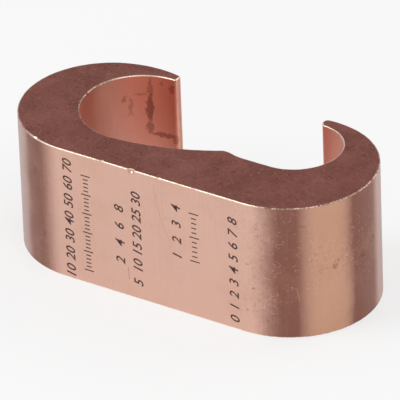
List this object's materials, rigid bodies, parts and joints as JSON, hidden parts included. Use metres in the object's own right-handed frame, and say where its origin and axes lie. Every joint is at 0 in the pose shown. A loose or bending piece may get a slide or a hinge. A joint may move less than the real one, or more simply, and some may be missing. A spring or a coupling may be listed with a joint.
{
  "type": "compression ground connector",
  "caption": "C-shaped copper compression connector with a large groove for a ground rod, a small groove for a tap conductor, and a ridge between them.",
  "frame": {"origin": "middle of the section's bounding box, on the lower cut face", "axes": "+X along the section from the rod groove to the tap groove, +Y from the web to the mouth between the hooks, +Z along the extrusion"},
  "size_m": [0.0512, 0.0238, 0.019],
  "materials": {
    "copper": "bare extruded copper, satin, with darker cut faces"
  },
  "bodies": {
    "root": {"compression_ground_connector": "copper"}
  },
  "joints": []
}
